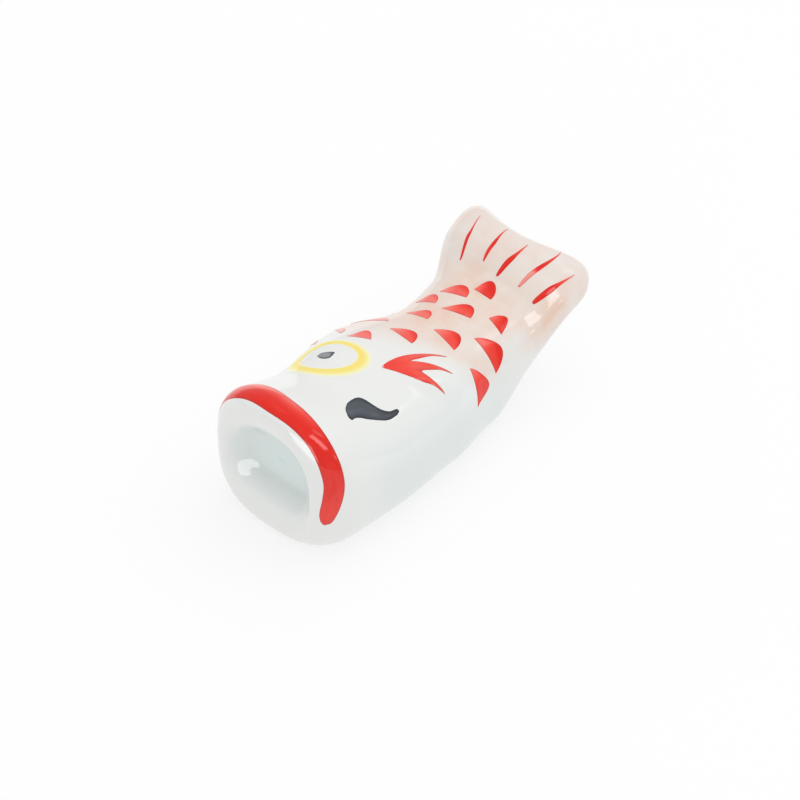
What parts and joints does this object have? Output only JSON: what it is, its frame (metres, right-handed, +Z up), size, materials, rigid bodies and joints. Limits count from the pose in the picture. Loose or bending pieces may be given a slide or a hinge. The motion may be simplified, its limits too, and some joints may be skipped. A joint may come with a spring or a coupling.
{
  "type": "chopstick rest",
  "caption": "Porcelain chopstick rest shaped as a carp streamer lying on its side, with a dished round mouth, low waist, raised forked tail and painted enamel marks.",
  "frame": {"origin": "on the table under the middle of the outline", "axes": "+Z up from the foot; +Y along the body from the mouth to the tail; +X towards the belly flank, which carries the lower end of the lip band and the pectoral fin"},
  "size_m": [0.0262, 0.0562, 0.0215],
  "materials": {
    "porcelain": "matte, unglazed biscuit",
    "clear_glaze": "high gloss, faint celadon tint, peach wash on the back, waist and tail",
    "red_enamel": "glossy brushed enamel",
    "yellow_enamel": "glossy soft-edged enamel",
    "slate_enamel": "satin gloss enamel"
  },
  "bodies": {
    "root": {"porcelain_body": "porcelain", "clear_glaze": "clear_glaze", "lip_band": "red_enamel", "eye_ring": "yellow_enamel", "eye_pupil": "slate_enamel", "barbel": "slate_enamel", "pectoral_fin": "red_enamel", "scale_01": "red_enamel", "scale_02": "red_enamel", "scale_03": "red_enamel", "scale_04": "red_enamel", "scale_05": "red_enamel", "scale_06": "red_enamel", "scale_07": "red_enamel", "scale_08": "red_enamel", "scale_09": "red_enamel", "scale_10": "red_enamel", "scale_11": "red_enamel", "scale_12": "red_enamel", "scale_13": "red_enamel", "scale_14": "red_enamel", "scale_15": "red_enamel", "tail_ray_01": "red_enamel", "tail_ray_02": "red_enamel", "tail_ray_03": "red_enamel", "tail_ray_04": "red_enamel", "tail_ray_05": "red_enamel"}
  },
  "joints": []
}
